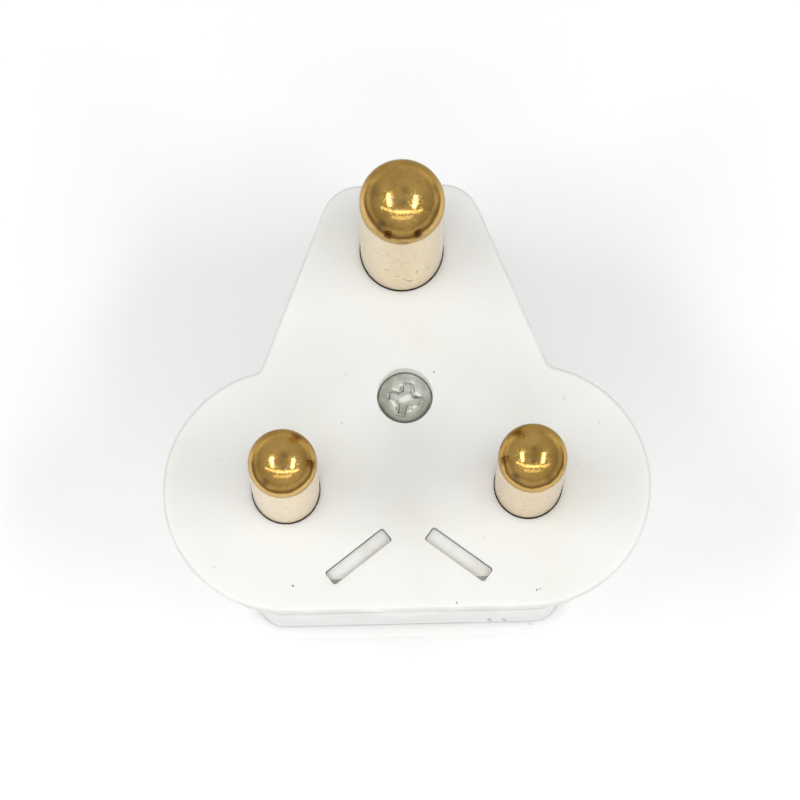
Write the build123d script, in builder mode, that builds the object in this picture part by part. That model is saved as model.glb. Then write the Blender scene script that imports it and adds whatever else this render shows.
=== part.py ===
from build123d import *
import os
from math import asin, atan2, degrees, radians, tan

# Rewirable plug top with three round pins, in millimetres. The origin is midway between the live
# and neutral pins on the flat pin face. +X runs to the live pin, +Y to the earth pin, +Z along
# the pins to their tips. The plug stands on the flat back of its rear cover, below the pin face.

# Pins, turned from solid brass with a thick head inside the housing
line_pitch = 25.4
earth_rise = 25.4
line_pin_d = 7.06
line_pin_length = 21.1
earth_pin_d = 8.71
earth_pin_length = 28.6
pin_gap = 0.09
pin_relief = 0.18
line_head_d = 9.0
earth_head_d = 10.0
head_end = -14.0
head_chamfer = 0.4

# Wire terminals: a cross hole through each head and a clamp screw up its axis
wire_hole_d = 3.4
wire_hole_z = -9.0
clamp_screw_d = 4.0
clamp_head_d = 5.5
clamp_head_t = 2.0
clamp_head_gap = 0.6
driver_slot = (0.9, 1.0)
thread_gap = 0.05

# Face plate, the flat three-lobed front that meets the socket
plate_t = 3.0
lobe_r = 13.0
face_top_y = 32.6
face_foot_half = 20.5
face_top_half = 7.2
face_corner_r = 4.2
face_crotch_r = 1.0
face_edge_r = 0.5
face_back_r = 0.8
face_draft = 6.0

# Neck behind the face plate: its outline is the hull of corner, flank and crown circles
corner_at = (13.2, -10.05)
corner_r = 2.8
flank_at = (10.5, 0.0)
flank_r = 8.2
crown_r = 6.5
neck_wall = 1.4
neck_end = -15.0
well_wall = 1.2
rib_t = 1.2
rib_end = -6.5
notch_width = 4.4

# Rear cover, which slips over the neck and stands out from it all round
cover_front = -12.0
cover_back = -28.0
cover_step = 1.5
cover_draft = 8.0
cover_soften = 0.6
cover_back_r = 2.4
cover_rim_r = 0.4
cover_fit = 0.01
cover_seat = 1.0
cover_floor = -26.2
stop_r = 4.0
stop_bore_r = 2.8
cover_rib_end = -22.0

# Cord entry through the cover's lower wall
cord_hole_d = 8.4
cord_hole_z = -20.0
cord_mouth_r = 0.9

# Finger grooves on the cover's two slanted flanks
groove_zs = (-15.6, -18.0, -20.4, -22.8)
groove_width = 1.1
groove_depth = 0.5
groove_ys = (2.0, 24.0)

# Cover screw, the boss and post that it runs through, and its square nut
screw_y = 9.8
screw_recess_d = 5.9
screw_seat = -3.4
screw_head_d = 5.6
screw_head_top = -1.45
screw_head_edge = -2.4
screw_d = 3.0
screw_end = -19.4
screw_hole_d = 3.3
driver_cross = (3.5, 0.9)
driver_core_r = 0.9
driver_depth = 0.95
driver_turn = -13.0
post_r = 4.1
post_top = -13.5
post_hole_end = -21.0
nut_across = 5.5
nut_t = 2.2
nut_top = -16.0
nut_gap = 0.1

# Cord grip, and the two slots through the face plate that its keys fill
slot_at = (5.25, -7.15)
slot_length = 7.75
slot_width = 1.75
slot_turn = 37.0
slot_corner_r = 0.35
grip_t = 1.0
grip_leg = (8.6, 3.6)
grip_low_y = -10.7
key_gap = 0.08
key_top = -0.8
key_step_z = -1.15
key_step_y = -9.45
vane_length = 7.4
vane_t = 1.4
vane_end = -19.0
tooth_count = 5
tooth_pitch = 2.5
tooth_size = 0.6

line_x = line_pitch / 2
plate_back = -plate_t
grip_back = plate_back - grip_t
dome_rise = screw_head_top - screw_head_edge
dome_r = (dome_rise**2 + (screw_head_d / 2) ** 2) / (2 * dome_rise)
dome_half = degrees(asin(screw_head_d / 2 / dome_r))

# Each pin's place, diameter, length and head, and the turn of the side its wire comes in from
pins = {
    "live": (line_x, 0, line_pin_d, line_pin_length, line_head_d, 180),
    "neutral": (-line_x, 0, line_pin_d, line_pin_length, line_head_d, 0),
    "earth": (0, earth_rise, earth_pin_d, earth_pin_length, earth_head_d, -90),
}
os.makedirs("parts", exist_ok=True)


# Hull of the corner, flank and crown circles, each grown by the same amount. Softening makes
# the two lower corners rounder without moving the walls that they join.
def body_outline(grow, soften=0.0):
    corner_x = corner_at[0] - soften
    with BuildSketch() as hull:
        with Locations((corner_x, corner_at[1] + soften), (-corner_x, corner_at[1] + soften)):
            Circle(corner_r + grow + soften)
        with Locations(flank_at, (-flank_at[0], flank_at[1])):
            Circle(flank_r + grow)
        with Locations((0, earth_rise)):
            Circle(crown_r + grow)
        make_hull()
    return hull.sketch


# Straight ribs from the screw post to each pin
def rib_outlines():
    with BuildSketch() as ribs:
        for x, y, pin_d, length, head_d, turn in pins.values():
            run = Vector(x, y - screw_y)
            with Locations((x / 2, (y + screw_y) / 2)):
                Rectangle(run.length, rib_t, rotation=degrees(atan2(run.Y, run.X)))
    return ribs.sketch


# Outline of one rectangle laid along each slot's direction
def along_slots(length, width, corner=0.0):
    with BuildSketch() as bars:
        for side in (1, -1):
            with Locations((side * slot_at[0], slot_at[1])):
                if corner:
                    RectangleRounded(length, width, corner, rotation=-side * slot_turn)
                else:
                    Rectangle(length, width, rotation=-side * slot_turn)
    return bars.sketch


# Face plate outline: two lobes round the line pins and a tapered tongue to the earth pin
with BuildSketch() as face_outline:
    SlotCenterToCenter(line_pitch, 2 * lobe_r)
    with BuildLine():
        Polyline(
            (-face_foot_half, 0),
            (face_foot_half, 0),
            (face_top_half, face_top_y),
            (-face_top_half, face_top_y),
            close=True,
        )
    make_face()
    fillet(face_outline.vertices().group_by(Axis.Y)[-1], face_corner_r)
    crotches = face_outline.vertices().filter_by(lambda v: 0.9 * lobe_r < v.Y < 1.1 * lobe_r)
    fillet(crotches, face_crotch_r)

# Base moulding: face plate, neck, pin wells, screw boss and the ribs that tie them
with BuildPart() as base_moulding:
    with BuildSketch(Plane.XY.offset(plate_back)):
        add(face_outline.sketch)
    extrude(amount=plate_t)
    draft(base_moulding.faces().filter_by(Axis.Z, reverse=True), Plane.XY, -face_draft)
    fillet(base_moulding.faces().sort_by(Axis.Z)[-1].edges(), face_edge_r)
    fillet(base_moulding.faces().sort_by(Axis.Z)[0].edges(), face_back_r)
    with BuildSketch(Plane.XY.offset(plate_back)):
        add(body_outline(0))
        add(body_outline(-neck_wall), mode=Mode.SUBTRACT)
    extrude(amount=neck_end - plate_back)
    with BuildSketch(Plane.XY.offset(plate_back)):
        for x, y, pin_d, length, head_d, turn in pins.values():
            with Locations((x, y)):
                Circle(head_d / 2 + pin_gap + well_wall)
        with Locations((0, screw_y)):
            Circle(post_r)
        add(body_outline(-neck_wall / 2), mode=Mode.INTERSECT)
    extrude(amount=post_top - plate_back)
    with BuildSketch(Plane.XY.offset(plate_back)):
        add(rib_outlines())
    extrude(amount=rib_end - plate_back)
    for x, y, pin_d, length, head_d, turn in pins.values():
        inward = Vector(1, 0, 0).rotate(Axis.Z, turn)
        notch = Vector(x, y, rib_end) + inward * (head_d / 2 + well_wall)
        with Locations(Location(notch, (0, 0, turn))):
            Box(
                3 * well_wall,
                notch_width,
                rib_end - neck_end,
                align=(Align.CENTER, Align.CENTER, Align.MAX),
                mode=Mode.SUBTRACT,
            )
        with Locations((x, y, plate_back)):
            Cylinder(
                head_d / 2 + pin_gap,
                plate_back - neck_end,
                align=(Align.CENTER, Align.CENTER, Align.MAX),
                mode=Mode.SUBTRACT,
            )
        with Locations((x, y, 0)):
            Hole(pin_d / 2 + pin_gap, plate_t)
    with Locations((0, screw_y, 0)):
        CounterBoreHole(screw_hole_d / 2, screw_recess_d / 2, -screw_seat, -post_top)
    with BuildSketch():
        add(along_slots(slot_length, slot_width, slot_corner_r))
    extrude(amount=plate_back, mode=Mode.SUBTRACT)
base_moulding.part.label = "base_moulding"
export_step(base_moulding.part, "parts/base_moulding.step")

# Rear cover: drafted shell with a seat for the neck, a screw post and stops behind the pins
with BuildPart() as rear_cover:
    with BuildSketch(Plane.XY.offset(cover_front)):
        add(body_outline(cover_step, cover_soften))
    extrude(amount=cover_back - cover_front, taper=cover_draft)
    fillet(rear_cover.faces().sort_by(Axis.Z)[0].edges(), cover_back_r)
    fillet(rear_cover.faces().sort_by(Axis.Z)[-1].edges(), cover_rim_r)
    for z in groove_zs:
        drawn_in = (cover_front - z) * tan(radians(cover_draft))
        with BuildSketch(Plane.XY.offset(z + groove_width / 2)):
            add(body_outline(2 * cover_step))
            add(body_outline(cover_step - drawn_in - groove_depth, cover_soften), mode=Mode.SUBTRACT)
            with Locations((0, sum(groove_ys) / 2)):
                Rectangle(4 * line_x, groove_ys[1] - groove_ys[0], mode=Mode.INTERSECT)
        extrude(amount=-groove_width, mode=Mode.SUBTRACT)
    with BuildSketch(Plane.XY.offset(cover_front)):
        add(body_outline(cover_fit))
    extrude(amount=neck_end - cover_front, mode=Mode.SUBTRACT)
    with BuildSketch(Plane.XY.offset(neck_end)):
        add(body_outline(cover_fit - cover_seat, cover_soften))
    extrude(amount=cover_floor - neck_end, mode=Mode.SUBTRACT)
    inner_walls = rear_cover.faces(Select.LAST).filter_by(Axis.Z, reverse=True)
    draft(inner_walls, Plane.XY.offset(neck_end), cover_draft)
    with BuildSketch(Plane.XY.offset(cover_floor)):
        add(rib_outlines())
    extrude(amount=cover_rib_end - cover_floor)
    with BuildSketch(Plane.XY.offset(cover_floor)):
        with Locations((0, screw_y)):
            Circle(post_r)
    extrude(amount=post_top - cover_floor)
    with BuildSketch(Plane.XY.offset(cover_floor)):
        with Locations([(x, y) for x, y, pin_d, length, head_d, turn in pins.values()]):
            Circle(stop_r)
    extrude(amount=head_end - cover_floor)
    with BuildSketch(Plane.XY.offset(cover_floor)):
        with Locations([(x, y) for x, y, pin_d, length, head_d, turn in pins.values()]):
            Circle(stop_bore_r)
    extrude(amount=head_end - cover_floor, mode=Mode.SUBTRACT)
    with Locations((0, screw_y, post_top)):
        Hole(screw_hole_d / 2, post_top - post_hole_end)
    with Locations((0, screw_y - nut_across / 2 - nut_gap, nut_top)):
        Box(
            nut_across + 2 * nut_gap,
            nut_across + 2 * post_r,
            nut_t + 2 * nut_gap,
            align=(Align.CENTER, Align.MIN, Align.MAX),
            mode=Mode.SUBTRACT,
        )
    with Locations(Plane(origin=(0, corner_at[1], cord_hole_z), z_dir=(0, -1, 0))):
        Cylinder(
            cord_hole_d / 2,
            2 * corner_r,
            align=(Align.CENTER, Align.CENTER, Align.MIN),
            mode=Mode.SUBTRACT,
        )
    mouth = rear_cover.edges().filter_by(lambda edge: edge.is_closed).sort_by(Axis.Y)[0]
    fillet(mouth, cord_mouth_r)
rear_cover.part.label = "rear_cover"
export_step(rear_cover.part, "parts/rear_cover.step")


# Pin with a domed tip, a relief where it passes the plate, a head behind it, and its two holes
def turned_pin(x, y, pin_d, length, head_d, turn):
    pin_r = pin_d / 2
    head_r = head_d / 2
    with BuildPart() as pin:
        with BuildSketch(Plane(origin=(x, y, 0), x_dir=(1, 0, 0), z_dir=(0, -1, 0))):
            with BuildLine():
                Polyline(
                    (0, length),
                    (0, head_end),
                    (head_r - head_chamfer, head_end),
                    (head_r, head_end + head_chamfer),
                    (head_r, plate_back),
                    (pin_r - pin_relief, plate_back),
                    (pin_r - pin_relief, 0),
                    (pin_r, 0),
                    (pin_r, length - pin_r),
                )
                CenterArc((0, length - pin_r), pin_r, 0, 90)
            make_face()
        revolve(axis=Axis((x, y, 0), (0, 0, 1)))
        with Locations((x, y, head_end)):
            Cylinder(
                clamp_screw_d / 2,
                wire_hole_z - head_end,
                align=(Align.CENTER, Align.CENTER, Align.MIN),
                mode=Mode.SUBTRACT,
            )
        across = Vector(1, 0, 0).rotate(Axis.Z, turn)
        with Locations(Plane(origin=(x, y, wire_hole_z), z_dir=across)):
            Cylinder(wire_hole_d / 2, 2 * head_d, mode=Mode.SUBTRACT)
    return pin.part


# Slotted clamp screw, backed off until its tip just clears the wire hole
def clamp_screw(x, y):
    under_head = head_end - clamp_head_gap
    tip = wire_hole_z - wire_hole_d / 2
    with BuildPart() as screw:
        with Locations((x, y, under_head)):
            Cylinder(
                clamp_screw_d / 2 - thread_gap,
                tip - under_head,
                align=(Align.CENTER, Align.CENTER, Align.MIN),
            )
            Cylinder(
                clamp_head_d / 2,
                clamp_head_t,
                align=(Align.CENTER, Align.CENTER, Align.MAX),
            )
        with Locations((x, y, under_head - clamp_head_t)):
            Box(
                2 * clamp_head_d,
                driver_slot[0],
                driver_slot[1],
                align=(Align.CENTER, Align.CENTER, Align.MIN),
                mode=Mode.SUBTRACT,
            )
    return screw.part


for name, (x, y, pin_d, length, head_d, turn) in pins.items():
    pin = turned_pin(x, y, pin_d, length, head_d, turn)
    pin.label = name + "_pin"
    export_step(pin, "parts/" + pin.label + ".step")
    screw = clamp_screw(x, y)
    screw.label = name + "_terminal_screw"
    export_step(screw, "parts/" + screw.label + ".step")

# Cover screw: domed head with a cross recess, sunk in the face and run through to the nut
with BuildPart() as cover_screw:
    with BuildSketch(Plane(origin=(0, screw_y, 0), x_dir=(1, 0, 0), z_dir=(0, -1, 0))):
        with BuildLine():
            Polyline(
                (0, screw_head_top),
                (0, screw_end),
                (screw_d / 2 - thread_gap, screw_end),
                (screw_d / 2 - thread_gap, screw_seat),
                (screw_head_d / 2, screw_seat),
                (screw_head_d / 2, screw_head_edge),
            )
            CenterArc((0, screw_head_top - dome_r), dome_r, 90 - dome_half, dome_half)
        make_face()
    revolve(axis=Axis((0, screw_y, 0), (0, 0, 1)))
    with BuildSketch(Plane.XY.offset(screw_head_top)):
        with Locations((0, screw_y)):
            Rectangle(*driver_cross, rotation=driver_turn)
            Rectangle(*driver_cross, rotation=driver_turn + 90)
            Circle(driver_core_r)
    extrude(amount=-driver_depth, mode=Mode.SUBTRACT)
cover_screw.part.label = "cover_screw"
export_step(cover_screw.part, "parts/cover_screw.step")

# Square nut held in the slot in the cover's post
with BuildPart() as cover_nut:
    with BuildSketch(Plane.XY.offset(nut_top)):
        with Locations((0, screw_y)):
            Rectangle(nut_across, nut_across)
            Circle(screw_d / 2, mode=Mode.SUBTRACT)
    extrude(amount=-nut_t)
cover_nut.part.label = "cover_nut"
export_step(cover_nut.part, "parts/cover_nut.step")

# Cord grip: plate behind the face plate, with two keys into its slots and two toothed vanes in a V
with BuildPart() as cord_grip:
    with BuildSketch(Plane.XY.offset(plate_back)):
        add(along_slots(*grip_leg))
        with Locations((0, grip_low_y)):
            Rectangle(
                slot_at[0],
                slot_at[1] - grip_low_y + grip_leg[1],
                align=(Align.CENTER, Align.MIN),
            )
            Rectangle(
                2 * line_pitch,
                line_pitch,
                align=(Align.CENTER, Align.MIN),
                mode=Mode.INTERSECT,
            )
    extrude(amount=-grip_t)
    with BuildSketch(Plane.XY.offset(grip_back)):
        add(along_slots(vane_length, vane_t))
    extrude(amount=vane_end - grip_back)
    key_size = (slot_length - 2 * key_gap, slot_width - 2 * key_gap, slot_corner_r - key_gap)
    with BuildSketch(Plane.XY.offset(plate_back)):
        add(along_slots(*key_size))
    extrude(amount=key_top - plate_back)
    with Locations((0, key_step_y, key_step_z)):
        Box(
            2 * line_pitch,
            line_pitch,
            plate_t,
            align=(Align.CENTER, Align.MAX, Align.MIN),
            mode=Mode.SUBTRACT,
        )
    for side in (1, -1):
        for tooth in range(tooth_count):
            z = grip_back - (tooth + 1) * tooth_pitch
            with Locations(Location((side * slot_at[0], slot_at[1], z), (0, 0, -side * slot_turn))):
                with Locations((-side * vane_length / 2, 0, 0)):
                    Box(2 * tooth_size, 2 * vane_t, tooth_size, mode=Mode.SUBTRACT)
cord_grip.part.label = "cord_grip"
export_step(cord_grip.part, "parts/cord_grip.step")
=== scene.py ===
import math
import bmesh
import bpy
from mathutils import Matrix, Vector


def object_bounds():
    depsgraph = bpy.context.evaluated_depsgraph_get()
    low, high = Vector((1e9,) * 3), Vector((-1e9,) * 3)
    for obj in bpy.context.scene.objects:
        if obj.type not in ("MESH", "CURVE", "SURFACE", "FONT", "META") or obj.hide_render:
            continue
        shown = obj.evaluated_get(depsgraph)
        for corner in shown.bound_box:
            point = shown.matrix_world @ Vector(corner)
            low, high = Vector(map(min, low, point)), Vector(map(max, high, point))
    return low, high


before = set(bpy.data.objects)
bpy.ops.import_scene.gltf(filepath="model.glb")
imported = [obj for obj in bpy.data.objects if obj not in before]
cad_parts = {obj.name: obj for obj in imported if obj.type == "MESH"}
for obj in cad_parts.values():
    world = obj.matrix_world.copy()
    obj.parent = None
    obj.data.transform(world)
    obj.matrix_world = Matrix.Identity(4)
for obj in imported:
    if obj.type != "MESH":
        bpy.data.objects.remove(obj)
cadLow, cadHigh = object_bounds()
mm = 0.001
print("stage 1: frame loaded")

# camera, at the photograph's angle: tilts in degrees, place and lens in mm, clipping in metres
camera = {
    "tiltX": 9.87,
    "tiltY": -0.33,
    "tiltZ": -1.31,
    "place": (-3.5, -80.4, 515.8),
    "lens": 223.9,
    "sensor": 36.0,
    "clip": (0.01, 50.0),
}


def placeCamera(spec):
    cam = bpy.data.objects.new("camera", bpy.data.cameras.new("camera"))
    turn = Matrix.Rotation(math.radians(spec["tiltY"]), 4, "Y")
    turn = turn @ Matrix.Rotation(math.radians(spec["tiltX"]), 4, "X")
    turn = turn @ Matrix.Rotation(math.radians(spec["tiltZ"]), 4, "Z")
    cam.matrix_world = Matrix.Translation(Vector(spec["place"]) * mm) @ turn
    cam.data.lens = spec["lens"]
    cam.data.sensor_width = spec["sensor"]
    cam.data.clip_start, cam.data.clip_end = spec["clip"]
    bpy.context.collection.objects.link(cam)
    bpy.context.scene.camera = cam
    return turn


# plain studio: pale floor just under the plug, an even sky that is a little brighter in front, and
# soft lamps hung round the point aimAt, in mm; the floor's half side and gap are in metres
studio = {
    "floorHalf": 3.0,
    "floorGap": 0.00002,
    "floorColour": (1.0, 1.0, 1.0, 1.0),
    "floorRoughness": 0.9,
    "floorShine": 0.1,
    "sky": 0.530,
    "skyBack": 1.02,
    "skyFront": 1.12,
    "skyBlend": 0.8,
    "aimAt": (0, 6, 10),
}
# each lamp: degrees right of and above the camera's line, metres away, size in metres, degrees that it
# is rolled anticlockwise as the camera sees it, and power in watts
lamps = {
    "leftStrip": {"right": -35, "up": 5, "away": 0.6, "size": (0.10, 0.34), "roll": 8, "power": 0.82},
    "rightStrip": {"right": 35, "up": 1, "away": 0.6, "size": (0.10, 0.34), "roll": -10, "power": 0.82},
    "lowBar": {"right": 0, "up": -27, "away": 0.6, "size": (0.72, 0.075), "roll": 0, "power": 0.36},
    "midBar": {"right": 0, "up": -27, "away": 0.59, "size": (0.40, 0.06), "roll": 0, "power": 0.17},
    "leftWing": {"right": -46, "up": -17, "away": 0.6, "size": (0.30, 0.06), "roll": -24, "power": 0.12},
    "rightWing": {"right": 46, "up": -22, "away": 0.6, "size": (0.30, 0.06), "roll": 24, "power": 0.12},
    "kerb": {"right": 0, "up": -43, "away": 0.6, "size": (0.60, 0.10), "roll": 0, "power": 0.17},
}


def makeFloor(spec):
    bm = bmesh.new()
    bmesh.ops.create_grid(bm, x_segments=1, y_segments=1, size=spec["floorHalf"])
    bmesh.ops.translate(bm, verts=bm.verts, vec=(0, 0, cadLow.z - spec["floorGap"]))
    mesh = bpy.data.meshes.new("floor")
    bm.to_mesh(mesh)
    bm.free()
    floor = bpy.data.objects.new("floor", mesh)
    bpy.context.collection.objects.link(floor)
    mat = bpy.data.materials.new("paleFloor")
    mat.use_nodes = True
    shader = mat.node_tree.nodes["Principled BSDF"]
    shader.inputs["Base Color"].default_value = spec["floorColour"]
    shader.inputs["Roughness"].default_value = spec["floorRoughness"]
    shader.inputs["Specular IOR Level"].default_value = spec["floorShine"]
    mesh.materials.append(mat)


def lightWorld(spec):
    world = bpy.data.worlds.new("studio")
    world.use_nodes = True
    tree = world.node_tree
    back = tree.nodes["Background"]
    back.inputs["Color"].default_value = (1, 1, 1, 1)
    coord = tree.nodes.new("ShaderNodeTexCoord")
    split = tree.nodes.new("ShaderNodeSeparateXYZ")
    level = tree.nodes.new("ShaderNodeMapRange")
    level.inputs["From Min"].default_value = spec["skyBlend"]
    level.inputs["From Max"].default_value = -spec["skyBlend"]
    level.inputs["To Min"].default_value = spec["sky"] * spec["skyBack"]
    level.inputs["To Max"].default_value = spec["sky"] * spec["skyFront"]
    tree.links.new(coord.outputs["Generated"], split.inputs["Vector"])
    tree.links.new(split.outputs["Y"], level.inputs["Value"])
    tree.links.new(level.outputs["Result"], back.inputs["Strength"])
    bpy.context.scene.world = world


def hangLamps(turn, aimAt):
    across, up, towards = (turn.to_3x3().col[i] for i in range(3))
    middle = Vector(aimAt) * mm
    for name, spec in lamps.items():
        right, high = math.radians(spec["right"]), math.radians(spec["up"])
        way = towards * math.cos(right) * math.cos(high) + across * math.sin(right) * math.cos(high)
        way = (way + up * math.sin(high)).normalized()
        top = (up - way * up.dot(way)).normalized()
        side = top.cross(way)
        lamp = bpy.data.objects.new(name, bpy.data.lights.new(name, "AREA"))
        lamp.data.shape = "RECTANGLE"
        lamp.data.size, lamp.data.size_y = spec["size"]
        lamp.data.energy = spec["power"]
        aim = Matrix((side, top, way)).transposed().to_4x4()
        aim = aim @ Matrix.Rotation(math.radians(spec["roll"]), 4, "Z")
        lamp.matrix_world = Matrix.Translation(middle + way * spec["away"]) @ aim
        bpy.context.collection.objects.link(lamp)


facing = placeCamera(camera)
makeFloor(studio)
lightWorld(studio)
hangLamps(facing, studio["aimAt"])
bpy.context.scene.view_settings.view_transform = "Standard"
print("stage 2: camera, floor and lamps")


# shared helpers for the materials' node trees; lengths in mm unless said otherwise
def freshMaterial(name):
    mat = bpy.data.materials.new(name)
    mat.use_nodes = True
    return mat, mat.node_tree, mat.node_tree.nodes["Principled BSDF"]


def noiseOn(tree, vector, scale, detail=2):
    noise = tree.nodes.new("ShaderNodeTexNoise")
    noise.inputs["Scale"].default_value = scale
    noise.inputs["Detail"].default_value = detail
    tree.links.new(vector, noise.inputs["Vector"])
    return noise.outputs


def smoothRange(tree, value, start, end, strength=1.0):
    ramp = tree.nodes.new("ShaderNodeMapRange")
    ramp.interpolation_type = "SMOOTHSTEP"
    ramp.inputs["From Min"].default_value = start
    ramp.inputs["From Max"].default_value = end
    ramp.inputs["To Max"].default_value = strength
    tree.links.new(value, ramp.inputs["Value"])
    return ramp.outputs["Result"]


def roughnessFrom(tree, shader, value, ends):
    ramp = tree.nodes.new("ShaderNodeMapRange")
    ramp.inputs["To Min"].default_value, ramp.inputs["To Max"].default_value = ends
    tree.links.new(value, ramp.inputs["Value"])
    tree.links.new(ramp.outputs["Result"], shader.inputs["Roughness"])


def noisePatch(tree, vector, scale, detail, low, high):
    return smoothRange(tree, noiseOn(tree, vector, scale, detail)["Fac"], low, high)


def spotMask(tree, vector, centre, inner, outer, strength):
    gap = tree.nodes.new("ShaderNodeVectorMath")
    gap.operation = "DISTANCE"
    gap.inputs[1].default_value = Vector(centre) * mm
    tree.links.new(vector, gap.inputs[0])
    return smoothRange(tree, gap.outputs["Value"], outer * mm, inner * mm, strength)


# a stroke is full over the middle of its width and fades out to halfWidth
def strokeMask(tree, vector, start, end, halfWidth, strength, full=0.3):
    first, last = Vector(start) * mm, Vector(end) * mm
    run = last - first
    offset = tree.nodes.new("ShaderNodeVectorMath")
    offset.operation = "SUBTRACT"
    offset.inputs[1].default_value = first
    along = tree.nodes.new("ShaderNodeVectorMath")
    along.operation = "DOT_PRODUCT"
    along.inputs[1].default_value = run / run.length_squared
    held = tree.nodes.new("ShaderNodeClamp")
    foot = tree.nodes.new("ShaderNodeVectorMath")
    foot.operation = "SCALE"
    foot.inputs[0].default_value = run
    gap = tree.nodes.new("ShaderNodeVectorMath")
    gap.operation = "DISTANCE"
    tree.links.new(vector, offset.inputs[0])
    tree.links.new(offset.outputs["Vector"], along.inputs[0])
    tree.links.new(along.outputs["Value"], held.inputs["Value"])
    tree.links.new(held.outputs["Result"], foot.inputs["Scale"])
    tree.links.new(offset.outputs["Vector"], gap.inputs[0])
    tree.links.new(foot.outputs["Vector"], gap.inputs[1])
    return smoothRange(tree, gap.outputs["Value"], halfWidth * mm, halfWidth * full * mm, strength)


def bandMask(tree, value, start, end, strength=1.0):
    return smoothRange(tree, value, start * mm, end * mm, strength)


def freeMath(tree, operation, first, second):
    node = tree.nodes.new("ShaderNodeMath")
    node.operation = operation
    for socket, value in zip(node.inputs, (first, second)):
        if isinstance(value, (int, float)):
            socket.default_value = value
        else:
            tree.links.new(value, socket)
    return node.outputs["Value"]


def joinMath(tree, operation, first, second):
    kept = freeMath(tree, operation, first, second)
    kept.node.use_clamp = True
    return kept


def blendColour(tree, amount, first, second):
    mix = tree.nodes.new("ShaderNodeMix")
    mix.data_type = "RGBA"
    tree.links.new(amount, mix.inputs["Factor"])
    for socket, value in ((mix.inputs["A"], first), (mix.inputs["B"], second)):
        if isinstance(value, tuple):
            socket.default_value = value
        else:
            tree.links.new(value, socket)
    return mix.outputs["Result"]


# shifts a pattern's place by up to half of amount, in metres, each way
def wobble(tree, vector, scale, amount):
    centre = tree.nodes.new("ShaderNodeVectorMath")
    centre.operation = "SUBTRACT"
    centre.inputs[1].default_value = (0.5, 0.5, 0.5)
    size = tree.nodes.new("ShaderNodeVectorMath")
    size.operation = "SCALE"
    size.inputs["Scale"].default_value = amount
    moved = tree.nodes.new("ShaderNodeVectorMath")
    moved.operation = "ADD"
    tree.links.new(noiseOn(tree, vector, scale)["Color"], centre.inputs[0])
    tree.links.new(centre.outputs["Vector"], size.inputs[0])
    tree.links.new(vector, moved.inputs[0])
    tree.links.new(size.outputs["Vector"], moved.inputs[1])
    return moved.outputs["Vector"]


def stretched(tree, vector, scale, turn=(0, 0, 0)):
    mapping = tree.nodes.new("ShaderNodeMapping")
    mapping.inputs["Scale"].default_value = scale
    mapping.inputs["Rotation"].default_value = [math.radians(a) for a in turn]
    tree.links.new(vector, mapping.inputs["Vector"])
    return mapping.outputs["Vector"]


# distance is in metres
def bumpFrom(tree, shader, height, distance, strength, after=None):
    bump = tree.nodes.new("ShaderNodeBump")
    bump.inputs["Distance"].default_value = distance
    bump.inputs["Strength"].default_value = strength
    tree.links.new(height, bump.inputs["Height"])
    if after:
        tree.links.new(after, bump.inputs["Normal"])
    tree.links.new(bump.outputs["Normal"], shader.inputs["Normal"])
    return bump.outputs["Normal"]


def softGlow(shader, spec):
    shader.inputs["Subsurface Weight"].default_value = spec["weight"]
    shader.inputs["Subsurface Radius"].default_value = spec["radius"]
    shader.inputs["Subsurface Scale"].default_value = spec["scale"]


def dress(nodeName, mat):
    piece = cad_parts[nodeName]
    for holder in piece.material_slots:
        holder.material = mat


# white moulding: satin plastic with a faint mottle, handling marks and a few dark specks on the face.
# A noise has scale, detail and the two levels it runs between; a painted shade band has the heights in mm
# where it starts and is full, and its strength; raggedness has scale and reach, a grain has scale,
# depth and strength, and reach and depth are in metres
plastic = {
    "colour": (0.873, 0.883, 0.870, 1),
    "mottle": (0.855, 0.858, 0.820, 1),
    "mottleNoise": (90, 3, 0.42, 0.75),
    "speck": (0.10, 0.09, 0.08, 1),
    # painted shade colour for the plate's side and the neck
    "paintedShade": (0.62, 0.62, 0.59, 1),
    "shadeNoise": (160, 3, 0.1, 0.6),
    "belowFace": (0.01, -0.14, 0.62),
    "onNeck": (-2.6, -3.6, 0.22),
    "onCover": (-10.0, -11.6, 0.40),
    # painted light for the deeper walls of the screw's recess
    "paintedPale": (0.95, 0.95, 0.93, 1),
    "recess": {"centre": (0, 9.8, -1.5), "reach": (3.6, 4.2), "depth": (0.0, -0.3)},
    "roughness": (0.42, 0.56),
    "polish": (260, 4, 0.3, 0.7),
    "specks": [
        (-12.17, -10.12, 0, 0.17), (13.31, -11.11, 0, 0.14), (13.66, -11.0, 0, 0.10),
        (4.92, -12.29, 0, 0.13), (3.10, 12.27, 0, 0.12), (-6.70, 7.04, 0, 0.09),
    ],
    "speckFull": 0.4,
    "speckStrength": 0.85,
    "neckMarks": [
        ((8.40, -12.85, -8.9), (8.62, -12.85, -11.2), 0.32),
        ((9.95, -12.85, -9.4), (10.2, -12.85, -11.2), 0.28),
    ],
    "neckStrength": 0.45,
    "dustNoise": (700, 2, 0.735, 0.76),
    "dustStrength": 0.16,
    "raggedness": (2500, 0.00012),
    "grain": (3500, 0.000012, 0.5),
    "refraction": 1.5,
    "shine": 0.35,
    "glow": {"weight": 0.5, "radius": (1.0, 0.97, 0.88), "scale": 0.0012},
}


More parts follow.
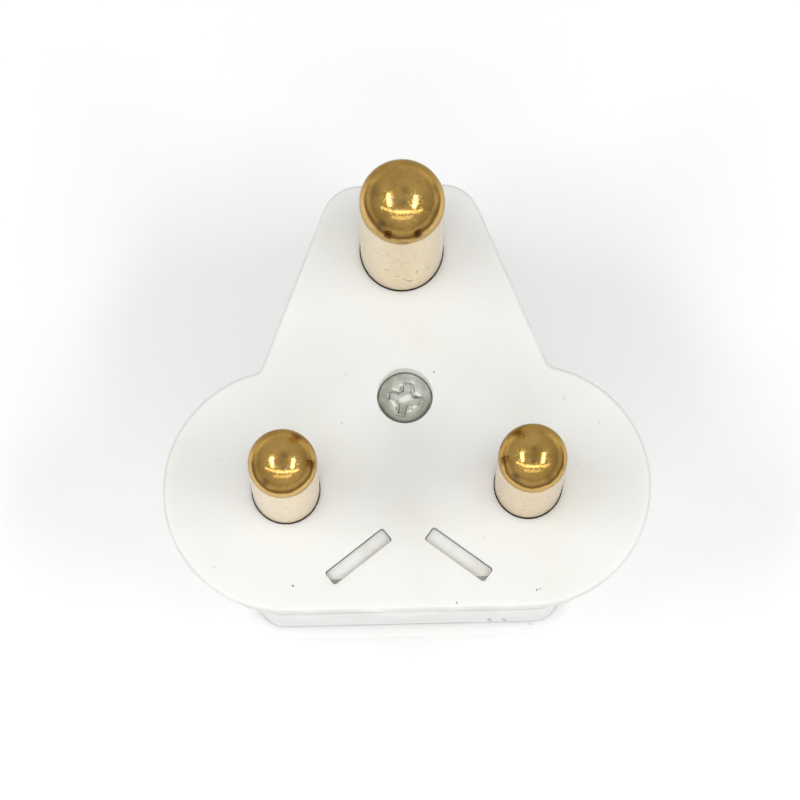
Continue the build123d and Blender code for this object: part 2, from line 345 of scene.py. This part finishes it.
def makePlastic(spec):
    mat, tree, shader = freshMaterial("whiteMoulding")
    place = tree.nodes.new("ShaderNodeTexCoord").outputs["Object"]
    mottle = noisePatch(tree, place, *spec["mottleNoise"])
    colour = blendColour(tree, mottle, spec["colour"], spec["mottle"])
    # painted shade, broken up by noise: the plate's side is darkened most, the neck less and the cover
    # hardly at all
    split = tree.nodes.new("ShaderNodeSeparateXYZ")
    tree.links.new(place, split.inputs["Vector"])
    height = split.outputs["Z"]
    shaded = bandMask(tree, height, *spec["belowFace"])
    for band in ("onNeck", "onCover"):
        shaded = joinMath(tree, "SUBTRACT", shaded, bandMask(tree, height, *spec[band]))
    shaded = joinMath(tree, "MULTIPLY", shaded, noisePatch(tree, place, *spec["shadeNoise"]))
    # the screw's recess gets no painted shade, and its deeper walls get painted light
    hollow = spec["recess"]
    recess = spotMask(tree, place, hollow["centre"], *hollow["reach"], 1.0)
    shaded = joinMath(tree, "SUBTRACT", shaded, recess)
    colour = blendColour(tree, shaded, colour, spec["paintedShade"])
    paintedPale = joinMath(tree, "MULTIPLY", recess, bandMask(tree, height, *hollow["depth"]))
    colour = blendColour(tree, paintedPale, colour, spec["paintedPale"])
    marks = 0.0
    nudged = wobble(tree, place, *spec["raggedness"])
    for x, y, z, size in spec["specks"]:
        spot = spotMask(tree, nudged, (x, y, z), size * spec["speckFull"], size, spec["speckStrength"])
        marks = joinMath(tree, "MAXIMUM", marks, spot)
    for start, end, size in spec["neckMarks"]:
        mark = strokeMask(tree, nudged, start, end, size, spec["neckStrength"])
        marks = joinMath(tree, "MAXIMUM", marks, mark)
    dust = joinMath(tree, "MULTIPLY", noisePatch(tree, place, *spec["dustNoise"]), spec["dustStrength"])
    marks = joinMath(tree, "MAXIMUM", marks, dust)
    colour = blendColour(tree, marks, colour, spec["speck"])
    tree.links.new(colour, shader.inputs["Base Color"])
    roughnessFrom(tree, shader, noisePatch(tree, place, *spec["polish"]), spec["roughness"])
    scale, depth, strength = spec["grain"]
    bumpFrom(tree, shader, noiseOn(tree, place, scale)["Fac"], depth, strength)
    shader.inputs["IOR"].default_value = spec["refraction"]
    shader.inputs["Specular IOR Level"].default_value = spec["shine"]
    softGlow(shader, spec["glow"])
    return mat


whiteMoulding = makePlastic(plastic)
dress("base_moulding", whiteMoulding)
dress("rear_cover", whiteMoulding)

# nylon of the cord grip, whose keys show in the slots, with painted shade at their lower ends in the slots'
# corners
nylon = {
    "colour": (0.875, 0.880, 0.850, 1),
    # painted shade colour for the keys' lower ends
    "cornerShade": (0.86, 0.84, 0.74, 1),
    "soot": (0.78, 0.77, 0.70, 1),
    "sootNoise": (300, 3, 0.4, 0.8),
    "keyTops": (-3.0, -2.4),
    "keyEnds": (-8.7, -10.2),
    "raggedness": (700, 0.0006),
    "polish": (500, 3, 0.0, 1.6),
    "grain": (2200, 0.00003, 0.5),
    "glow": {"weight": 0.4, "radius": (1.0, 0.95, 0.8), "scale": 0.0016},
}


def makeNylon(spec):
    mat, tree, shader = freshMaterial("whiteNylon")
    place = tree.nodes.new("ShaderNodeTexCoord").outputs["Object"]
    colour = blendColour(tree, noisePatch(tree, place, *spec["sootNoise"]), spec["colour"], spec["soot"])
    split = tree.nodes.new("ShaderNodeSeparateXYZ")
    tree.links.new(wobble(tree, place, *spec["raggedness"]), split.inputs["Vector"])
    # painted shade on the keys' tops at their lower ends
    keyTops = bandMask(tree, split.outputs["Z"], *spec["keyTops"])
    keyEnds = bandMask(tree, split.outputs["Y"], *spec["keyEnds"])
    colour = blendColour(tree, joinMath(tree, "MULTIPLY", keyTops, keyEnds), colour, spec["cornerShade"])
    tree.links.new(colour, shader.inputs["Base Color"])
    tree.links.new(noisePatch(tree, place, *spec["polish"]), shader.inputs["Roughness"])
    scale, depth, strength = spec["grain"]
    bumpFrom(tree, shader, noiseOn(tree, place, scale)["Fac"], depth, strength)
    softGlow(shader, spec["glow"])
    return mat


dress("cord_grip", makeNylon(nylon))
print("stage 3: white moulding")

# brass of the pins and the nut. The dome's dark ring is a painted reflection of the dark ground round the
# plug; it leans by ringLean and lies at ringHeight; its bands have the levels above it where they start and
# are full, as shares of the pin's radius, and a strength
brass = {
    "metal": (0.70, 0.435, 0.125, 1),
    "warm": (0.53, 0.320, 0.078, 1),
    "warmNoise": (420, 4, 0.35, 0.7),
    "edge": (0.68, 0.60, 0.48, 1),
    "paintedDark": (0.12, 0.068, 0.024, 1),
    # the dark colour below is painted dark reflection on the dome and painted shade at the pin's foot
    "blot": (0.052, 0.038, 0.024, 1),
    "scratch": (0.09, 0.075, 0.055, 1),
    "roughness": (0.11, 0.34),
    "unevenness": (450, 0.0010),
    # painted reflection: the shank's pale colour begins at these heights from the dome's middle
    "shankReflectFrom": (0.1, -0.5),
    "ringLean": -0.16,
    "ringHeight": 0.54,
    "lowSide": (0.75, -0.35, 0.92),
    "ringTop": (0.20, 0.02),
    "ringFoot": (-0.09, -0.01),
    # painted dark reflection inside the ring and at the dome's top
    "insideDarkReflection": (0.44, 0.08, 0.62),
    "outsideDarkReflection": (0.22, -0.04, 0.56),
    # painted reflection of the white face just below the ring
    "paleRim": (-0.05, -0.18, 0.6),
    # painted shade at the pin's foot, ending before the head
    "footShade": (0.7, 0.1, 0.8),
    "headUnshaded": (-2.6, -3.2, 0.8),
    "blotEdge": (1100, 0.0004),
    "blotSpread": 1.08,
    "blotStrength": 0.92,
    "fleckNoise": (1600, 3, 0.66, 0.74),
    "fleckStrength": 0.35,
    "scuffRun": (350, 350, 3800),
    "scuffTurn": (4, 6, 0),
    "scuffNoise": (1.0, 3, 0.70, 0.76),
    "scuffStrength": 0.25,
    "scratchEdge": (1500, 0.00025),
    "scratchSpread": 1.25,
    "scratchStrength": 0.9,
    "grainNoise": (4200, 3, 0.47, 0.66),
    "grainPatches": (900, 2, 0.2, 0.55),
    "turnedRun": (220, 220, 9000),
    "turnedRelief": (0.000004, 0.4),
    "dentScale": 800,
    "dentRelief": (0.00003, 0.35),
}
# each pin's dome centre, radius and shank colour, which is painted pale as a reflection of the white face;
# blots and pits have a place, a reach and a strength, scratches have two ends and half a width, and lengths
# are in mm
pinMarks = {
    "earth_pin": {
        "centre": (0, 25.4, 24.245), "radius": 4.355, "shank": (0.80, 0.63, 0.36, 1),
        "blots": [
            (-0.69, 28.18, 27.52, 0.28, 0.5), (-2.12, 22.62, 26.84, 0.75, 0.75),
            (1.58, 21.61, 25.69, 0.6, 0.8), (-1.64, 21.60, 25.59, 0.55, 0.55),
            (0.13, 24.42, 28.49, 0.35, 0.7), (-2.76, 25.9, 27.4, 1.1, 0.45), (3.48, 26.2, 26.86, 0.9, 0.5),
            (-0.1, 24.4, 28.4, 1.5, 0.42), (0.28, 25.64, 28.58, 0.8, 0.45),
        ],
        "scratches": [
            ((-2.99, 22.23, 16.0), (-2.61, 21.91, 15.6), 0.10),
            ((-2.06, 21.56, 18.4), (-1.24, 21.22, 18.2), 0.07),
            ((0.86, 21.13, 18.5), (1.31, 21.25, 18.0), 0.09),
            ((0.54, 21.08, 16.7), (1.21, 21.22, 16.2), 0.06),
            ((-1.01, 21.16, 14.4), (0.83, 21.12, 14.2), 0.07),
            ((-0.29, 21.05, 13.5), (0.10, 21.05, 13.5), 0.09),
            ((-0.29, 21.05, 12.0), (0.22, 21.05, 11.8), 0.08),
            ((-1.79, 21.43, 9.5), (-1.46, 21.30, 9.8), 0.14),
            ((2.45, 21.80, 7.9), (2.87, 22.13, 7.7), 0.16),
            ((1.42, 21.28, 8.3), (1.49, 21.31, 9.3), 0.11),
            ((-0.73, 21.11, 7.5), (-0.34, 21.06, 7.7), 0.16),
            ((0.52, 21.08, 5.3), (1.01, 21.16, 4.9), 0.16),
            ((0.01, 21.05, 6.7), (0.81, 21.12, 4.2), 0.08),
            ((-3.1, 22.34, 15.8), (-2.19, 21.64, 16.0), 0.07),
            ((-2.19, 21.64, 16.0), (-1.13, 21.19, 16.2), 0.06),
            ((-1.67, 21.38, 18.4), (-0.74, 21.11, 16.5), 0.06),
            ((-0.74, 21.11, 16.5), (0.21, 21.05, 14.5), 0.06),
            ((-0.90, 21.14, 10.8), (0.67, 21.10, 10.5), 0.09),
        ],
    },
    "neutral_pin": {
        "centre": (-12.7, 0, 17.57), "radius": 3.53, "shank": (0.82, 0.65, 0.39, 1),
        "blots": [
            (-11.19, 2.40, 19.67, 0.8, 0.6), (-9.54, -0.40, 19.09, 0.75, 0.65),
            (-14.51, -2.22, 19.64, 0.8, 0.7), (-12.52, -0.98, 20.96, 0.42, 0.75),
            (-12.7, -0.35, 21.05, 1.1, 0.35), (-12.50, 0.25, 21.08, 0.7, 0.5),
        ],
        "scratches": [
            ((-12.9, -3.52, 11.0), (-12.2, -3.49, 10.6), 0.08),
            ((-13.9, -3.32, 6.0), (-13.4, -3.46, 6.3), 0.12),
        ],
    },
    "live_pin": {
        "centre": (12.7, 0, 17.57), "radius": 3.53, "shank": (0.73, 0.53, 0.28, 1),
        "blots": [
            (11.21, 2.20, 19.89, 0.8, 0.6), (9.63, -0.43, 19.25, 0.65, 0.6),
            (10.81, -2.17, 19.61, 0.75, 0.75), (14.35, -2.44, 19.52, 0.9, 0.5),
            (12.66, -0.93, 20.98, 0.40, 0.75), (12.72, -0.2, 21.05, 1.1, 0.4),
            (12.79, 0.38, 21.07, 0.6, 0.55),
        ],
        "scratches": [
            ((12.3, -3.51, 12.0), (13.0, -3.52, 11.7), 0.08),
            ((11.6, -3.35, 5.2), (12.1, -3.48, 5.5), 0.12),
        ],
    },
}


def makeBrass(name, spec, marks):
    mat, tree, shader = freshMaterial(name)
    place = tree.nodes.new("ShaderNodeTexCoord").outputs["Object"]
    colour = blendColour(tree, noisePatch(tree, place, *spec["warmNoise"]), spec["metal"], spec["warm"])
    split = tree.nodes.new("ShaderNodeSeparateXYZ")
    tree.links.new(wobble(tree, place, *spec["unevenness"]), split.inputs["Vector"])
    depth, height = split.outputs["Y"], split.outputs["Z"]
    middleY, middleZ, radius = marks["centre"][1], marks["centre"][2], marks["radius"]

    # a band given in shares of the radius, from a middle in mm
    def roundBand(value, middle, start, end, strength=1.0):
        return bandMask(tree, value, middle + start * radius, middle + end * radius, strength)

    # painted reflection: the shank is painted paler than the dome, as it mirrors the white face
    reflectStart, reflectEnd = spec["shankReflectFrom"]
    shankReflect = bandMask(tree, height, middleZ + reflectStart, middleZ + reflectEnd)
    colour = blendColour(tree, shankReflect, colour, marks["shank"])
    # painted reflection: a dark ring round the dome's shoulder stands for the dark ground round the plug,
    # lower and darker towards the cord entry
    slope = tree.nodes.new("ShaderNodeMath")
    slope.operation = "MULTIPLY_ADD"
    slope.inputs[1].default_value = spec["ringLean"]
    tree.links.new(depth, slope.inputs[0])
    tree.links.new(height, slope.inputs[2])
    level = slope.outputs["Value"]
    ringAt = middleZ + spec["ringHeight"] * radius + spec["ringLean"] * middleY
    lowSide = roundBand(depth, middleY, *spec["lowSide"])
    ringTop = roundBand(level, ringAt, *spec["ringTop"])
    ringFoot = roundBand(level, ringAt, *spec["ringFoot"])
    darkened = joinMath(tree, "MULTIPLY", joinMath(tree, "MULTIPLY", ringTop, ringFoot), lowSide)
    # a fainter painted dark reflection lies inside the ring, and at the top of the dome outside it
    inside = joinMath(tree, "MULTIPLY", roundBand(level, ringAt, *spec["insideDarkReflection"]), lowSide)
    inside = joinMath(tree, "MULTIPLY", inside, ringFoot)
    outside = joinMath(tree, "SUBTRACT", roundBand(level, ringAt, *spec["outsideDarkReflection"]), lowSide)
    dimReflection = joinMath(tree, "MAXIMUM", inside, outside)
    colour = blendColour(tree, joinMath(tree, "MAXIMUM", darkened, dimReflection), colour, spec["paintedDark"])
    # painted reflection of the white face: a pale band below the ring, on the low side
    paintedPale = joinMath(tree, "MULTIPLY", roundBand(level, ringAt, *spec["paleRim"]), lowSide)
    colour = blendColour(tree, paintedPale, colour, marks["shank"])
    # painted shade where the pin leaves the face, not on its head behind the plate
    foot = bandMask(tree, height, *spec["footShade"])
    foot = joinMath(tree, "SUBTRACT", foot, bandMask(tree, height, *spec["headUnshaded"]))
    colour = blendColour(tree, foot, colour, spec["paintedDark"])
    blots = 0.0
    ragged = wobble(tree, place, *spec["blotEdge"])
    for x, y, z, size, strength in marks["blots"]:
        reach, strength = size * spec["blotSpread"], strength * spec["blotStrength"]
        blots = joinMath(tree, "MAXIMUM", blots, spotMask(tree, ragged, (x, y, z), 0, reach, strength))
    flecks = noisePatch(tree, place, *spec["fleckNoise"])
    blots = joinMath(tree, "MAXIMUM", blots, joinMath(tree, "MULTIPLY", flecks, spec["fleckStrength"]))
    colour = blendColour(tree, blots, colour, spec["blot"])
    # glancing reflections: tinted on the bare dome, plain on the shank and the blots
    plain = joinMath(tree, "MAXIMUM", shankReflect, blots)
    glancing = blendColour(tree, plain, spec["edge"], (1.0, 1.0, 1.0, 1))
    tree.links.new(glancing, shader.inputs["Specular Tint"])
    # short marks left round the shank by the socket's contacts
    around = stretched(tree, place, spec["scuffRun"], spec["scuffTurn"])
    scuff = noisePatch(tree, around, *spec["scuffNoise"])
    scratched = joinMath(tree, "MULTIPLY", scuff, spec["scuffStrength"])
    uneven = wobble(tree, place, *spec["scratchEdge"])
    for start, end, size in marks["scratches"]:
        stroke = strokeMask(tree, uneven, start, end, size * spec["scratchSpread"], spec["scratchStrength"])
        scratched = joinMath(tree, "MAXIMUM", scratched, stroke)
    colour = blendColour(tree, scratched, colour, spec["scratch"])
    tree.links.new(colour, shader.inputs["Base Color"])
    shader.inputs["Metallic"].default_value = 1.0
    # grains of sharp and dull polish lie side by side, so highlights get a grainy glow
    grains = noisePatch(tree, place, *spec["grainNoise"])
    grains = joinMath(tree, "MULTIPLY", grains, noisePatch(tree, place, *spec["grainPatches"]))
    dullness = joinMath(tree, "MAXIMUM", joinMath(tree, "MAXIMUM", grains, blots), scuff)
    roughnessFrom(tree, shader, dullness, spec["roughness"])
    turned = noiseOn(tree, stretched(tree, place, spec["turnedRun"]), 1.0)["Fac"]
    fine = bumpFrom(tree, shader, turned, *spec["turnedRelief"])
    dents = noiseOn(tree, place, spec["dentScale"])["Fac"]
    bumpFrom(tree, shader, dents, *spec["dentRelief"], fine)
    return mat


for nodeName, marks in pinMarks.items():
    dress(nodeName, makeBrass(nodeName.replace("_pin", "Brass"), brass, marks))
print("stage 4: brass pins")

# zinc plated steel: the cover screw's cross is burred by the driver and glints along its edges.
# Places and strokes in mm, turn in degrees; wing is half the cross's length and half its width, and
# core is the radius of its round middle
zinc = {
    "colour": (0.80, 0.82, 0.79, 1),
    # the darker zinc serves for duller patches and for painted shade on the head's low side
    "darkened": (0.60, 0.62, 0.54, 1),
    "dullNoise": (700, 4, 0.35, 0.7),
    "glint": (0.98, 0.98, 0.96, 1),
    "edge": (0.20, 0.22, 0.19, 1),
    "roughness": (0.56, 0.74),
    "polish": (900, 3, 0.3, 0.7),
    "dentScale": 1500,
    "dentRelief": (0.00004, 0.4),
    "turn": 13,
    "centre": (0, 9.8, 0),
    "wing": (1.75, 0.45),
    "core": 0.9,
    "lowSide": (10.8, 8.0, 0.7),
    # painted shadow round the head's low rim
    "rimShadowBand": (10.2, 8.6, 0.70),
    "rimShadowCentre": (0, 9.95, -2.1),
    "rimShadowReach": (2.32, 2.6),
    "raggedness": (1800, 0.00028),
    "burr": (0.22, 0.04),
    "burrNoise": (2600, 2, 0.35, 0.6),
    "burrRelief": (0.00012, 0.8),
    "rim": (0.09, 0.02),
    "rimInset": 0.06,
    "rimNoise": (1500, 3, 0.38, 0.60),
    "flatten": (1, 1, 0.2),
    "strokeHeight": -0.34,
    "strokeStrength": 0.9,
    "burrShadeStrength": 0.8,
    "glints": [
        ((-1.29, 10.81), (-0.72, 10.58), 0.13), ((-0.48, 11.16), (-0.22, 11.26), 0.12),
        ((0.75, 11.54), (0.97, 11.39), 0.16), ((1.16, 10.37), (1.64, 10.10), 0.15),
        ((-1.48, 9.71), (-1.05, 8.95), 0.14), ((-0.81, 8.23), (-0.06, 8.05), 0.12),
        ((0.00, 8.25), (0.60, 8.50), 0.11), ((0.90, 8.80), (1.28, 9.07), 0.16),
        ((1.62, 9.00), (1.83, 9.50), 0.10), ((-1.77, 9.98), (-1.71, 10.21), 0.10),
        ((-0.33, 9.72), (0.34, 10.01), 0.50),
    ],
    # painted shade strokes along the burred edges of the cross
    "burrShade": [
        ((-1.35, 10.76), (-0.39, 10.33), 0.12), ((-0.98, 8.84), (-0.89, 8.61), 0.10),
        ((0.89, 11.28), (1.05, 10.37), 0.11), ((0.50, 10.53), (1.08, 9.69), 0.09),
        ((1.16, 9.99), (1.60, 9.87), 0.13), ((0.62, 8.62), (0.86, 8.86), 0.09),
        ((-0.35, 11.20), (-0.40, 10.75), 0.10), ((0.05, 8.20), (-0.02, 8.45), 0.09),
    ],
}


# distance in mm from the outline of the driver's cross, below 0 inside it
def crossGap(tree, place, spec):
    mapping = tree.nodes.new("ShaderNodeMapping")
    mapping.vector_type = "TEXTURE"
    mapping.inputs["Location"].default_value = Vector(spec["centre"]) * mm
    mapping.inputs["Rotation"].default_value = (0, 0, math.radians(-spec["turn"]))
    mapping.inputs["Scale"].default_value = (mm, mm, mm)
    folded = tree.nodes.new("ShaderNodeVectorMath")
    folded.operation = "ABSOLUTE"
    split = tree.nodes.new("ShaderNodeSeparateXYZ")
    tree.links.new(place, mapping.inputs["Vector"])
    tree.links.new(mapping.outputs["Vector"], folded.inputs[0])
    tree.links.new(folded.outputs["Vector"], split.inputs["Vector"])
    x, y = split.outputs["X"], split.outputs["Y"]
    length, width = spec["wing"]
    wings = []
    for first, second in ((x, y), (y, x)):
        end = freeMath(tree, "SUBTRACT", first, length)
        side = freeMath(tree, "SUBTRACT", second, width)
        wings.append(freeMath(tree, "MAXIMUM", end, side))
    across = freeMath(tree, "ADD", freeMath(tree, "MULTIPLY", x, x), freeMath(tree, "MULTIPLY", y, y))
    core = freeMath(tree, "SUBTRACT", freeMath(tree, "SQRT", across, 0), spec["core"])
    return freeMath(tree, "MINIMUM", freeMath(tree, "MINIMUM", wings[0], wings[1]), core)


def makeZinc(name, spec, driven):
    mat, tree, shader = freshMaterial(name)
    place = tree.nodes.new("ShaderNodeTexCoord").outputs["Object"]
    colour = blendColour(tree, noisePatch(tree, place, *spec["dullNoise"]), spec["colour"], spec["darkened"])
    dents = noiseOn(tree, place, spec["dentScale"])["Fac"]
    normal = bumpFrom(tree, shader, dents, *spec["dentRelief"])
    if driven:
        split = tree.nodes.new("ShaderNodeSeparateXYZ")
        tree.links.new(place, split.inputs["Vector"])
        # painted shade: the head's low side is darker
        lowSide = bandMask(tree, split.outputs["Y"], *spec["lowSide"])
        colour = blendColour(tree, lowSide, colour, spec["darkened"])
        # painted shadow round the head's low rim, where it meets the recess wall
        middle = spotMask(tree, place, spec["rimShadowCentre"], *spec["rimShadowReach"], 1.0)
        rimShadow = joinMath(tree, "SUBTRACT", bandMask(tree, split.outputs["Y"], *spec["rimShadowBand"]), middle)
        colour = blendColour(tree, rimShadow, colour, spec["edge"])
        # burr along the cross's outline
        ragged = wobble(tree, place, *spec["raggedness"])
        gap = crossGap(tree, ragged, spec)
        burr = smoothRange(tree, freeMath(tree, "ABSOLUTE", gap, 0), *spec["burr"])
        chips = joinMath(tree, "MULTIPLY", burr, noisePatch(tree, place, *spec["burrNoise"]))
        bumpFrom(tree, shader, chips, *spec["burrRelief"], normal)
        # strokes are drawn on the head's top and hold through its dome
        flat = stretched(tree, ragged, spec["flatten"])
        strokes = {}
        for kind in ("glints", "burrShade"):
            strokes[kind] = 0.0
            for start, end, size in spec[kind]:
                low, high = (*start, spec["strokeHeight"]), (*end, spec["strokeHeight"])
                stroke = strokeMask(tree, flat, low, high, size, spec["strokeStrength"])
                strokes[kind] = joinMath(tree, "MAXIMUM", strokes[kind], stroke)
        inner = freeMath(tree, "ABSOLUTE", freeMath(tree, "ADD", gap, spec["rimInset"]), 0)
        rim = smoothRange(tree, inner, *spec["rim"])
        shade = joinMath(tree, "MULTIPLY", rim, noisePatch(tree, place, *spec["rimNoise"]))
        # painted shade: dark strokes along the burred edges of the cross
        burrShade = joinMath(tree, "MULTIPLY", strokes["burrShade"], spec["burrShadeStrength"])
        colour = blendColour(tree, joinMath(tree, "MAXIMUM", shade, burrShade), colour, spec["edge"])
        colour = blendColour(tree, strokes["glints"], colour, spec["glint"])
    tree.links.new(colour, shader.inputs["Base Color"])
    shader.inputs["Metallic"].default_value = 1.0
    roughnessFrom(tree, shader, noisePatch(tree, place, *spec["polish"]), spec["roughness"])
    if driven:
        # glints are matt, so they stay bright from every side
        matt = freeMath(tree, "SUBTRACT", 1.0, strokes["glints"])
        tree.links.new(matt, shader.inputs["Metallic"])
    return mat


dress("cover_screw", makeZinc("drivenZinc", zinc, True))
terminalZinc = makeZinc("zincSteel", zinc, False)
for nodeName in ("earth_terminal_screw", "live_terminal_screw", "neutral_terminal_screw"):
    dress(nodeName, terminalZinc)
# the nut takes the pins' pale shank colour all over, without a dome
nut = {"centre": (0, 9.8, -16), "radius": 1.0, "shank": (0.82, 0.66, 0.41, 1), "blots": [], "scratches": []}
dress("cover_nut", makeBrass("nutBrass", brass, nut))
print("stage 5: screws and nut")
